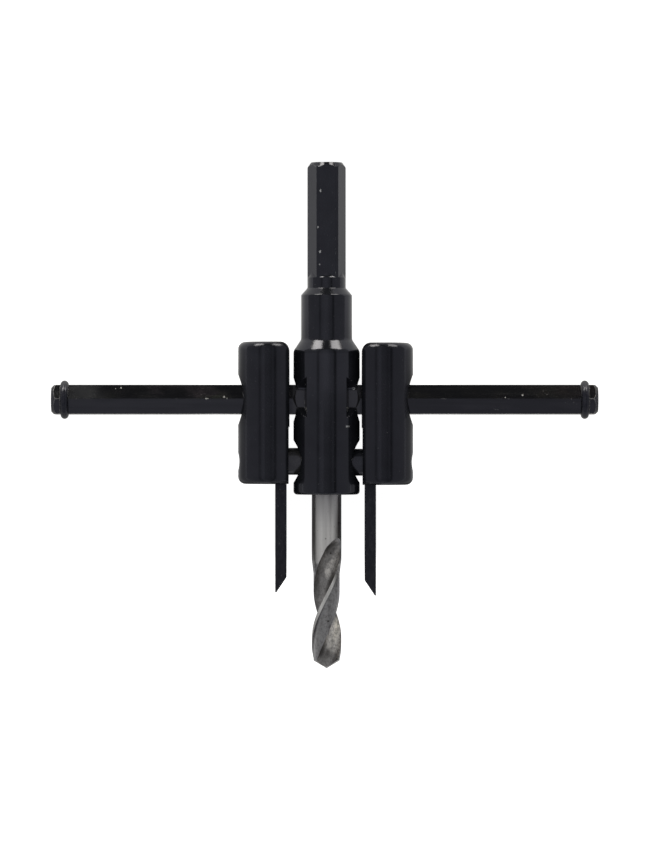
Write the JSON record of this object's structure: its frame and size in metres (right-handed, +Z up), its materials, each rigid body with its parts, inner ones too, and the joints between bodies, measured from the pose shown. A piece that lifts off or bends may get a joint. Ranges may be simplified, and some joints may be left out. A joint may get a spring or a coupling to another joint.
{
  "type": "adjustable circle cutter",
  "caption": "Adjustable circle cutter: a hexagonal-shank spindle with a hexagonal cross bar, two sliding blade holders and a centring twist drill.",
  "frame": {"origin": "centre of the bounding box, on the surface that the tool lies on", "axes": "+X along the cross bar, +Y along the spindle towards the shank's end, +Z up, away from the surface"},
  "size_m": [0.12, 0.1112, 0.0146],
  "materials": {
    "black_gloss": "glossy black-plated steel",
    "black_bar": "blackened steel with fine wear",
    "black_pin": "glossy black-plated steel",
    "black_screw": "black oxide steel",
    "black_blade": "satin black steel",
    "ring": "smooth black rubber",
    "drill_steel": "ground tool steel with grey flutes"
  },
  "bodies": {
    "spindle": {"spindle": "black_gloss", "nose_bar_screw": "black_screw", "drill_screw": "black_screw", "cross_bar": "black_bar", "left_end_ring": "ring", "right_end_ring": "ring"},
    "left_holder": {"left_holder": "black_gloss", "left_bar_screw": "black_screw", "left_blade_screw": "black_screw", "left_guide_pin": "black_pin"},
    "right_holder": {"right_holder": "black_gloss", "right_bar_screw": "black_screw", "right_blade_screw": "black_screw", "right_guide_pin": "black_pin"},
    "left_blade": {"left_blade": "black_blade"},
    "right_blade": {"right_blade": "black_blade"},
    "twist_drill": {"twist_drill": "drill_steel"}
  },
  "joints": [
    {"name": "left_holder_slide", "type": "slide", "parent": "spindle", "child": "left_holder", "axis": [-1, 0, 0], "range_m": [-0.0006, 0.037]},
    {"name": "right_holder_slide", "type": "slide", "parent": "spindle", "child": "right_holder", "axis": [1, 0, 0], "range_m": [-0.00015, 0.0366]},
    {"name": "left_blade_slide", "type": "slide", "parent": "left_holder", "child": "left_blade", "axis": [0, -1, 0], "range_m": [-0.002, 0.004]},
    {"name": "right_blade_slide", "type": "slide", "parent": "right_holder", "child": "right_blade", "axis": [0, -1, 0], "range_m": [-0.002, 0.004]},
    {"name": "drill_slide", "type": "slide", "parent": "spindle", "child": "twist_drill", "axis": [0, -1, 0], "range_m": [0, 0.004]}
  ]
}
